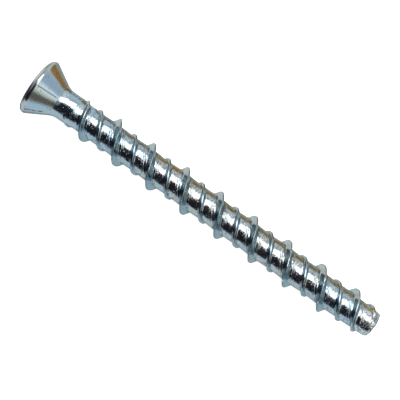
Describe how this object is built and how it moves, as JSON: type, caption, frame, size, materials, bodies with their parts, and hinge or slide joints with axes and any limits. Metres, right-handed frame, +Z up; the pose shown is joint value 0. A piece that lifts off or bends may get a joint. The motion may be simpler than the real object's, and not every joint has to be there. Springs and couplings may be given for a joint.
{
  "type": "concrete screw",
  "caption": "Zinc-plated concrete screw with a countersunk six-lobe head, a plain neck, a two-start high-low thread and a blunt tip, lying on its side.",
  "frame": {"origin": "on the ground under the middle of the lying screw, at the centre of the bottom of its box", "axes": "+X along the screw from its head to its tip, +Y across it, +Z up; the axis of the screw dips 1.47 degrees towards the tip, because the screw rests on the rim of its head and on its last full turn of thread"},
  "size_m": [0.0722, 0.0106, 0.0107],
  "materials": {
    "zinc_steel": "bright blue-passivated zinc plating on rolled steel"
  },
  "bodies": {
    "root": {"concrete_screw": "zinc_steel"}
  },
  "joints": []
}
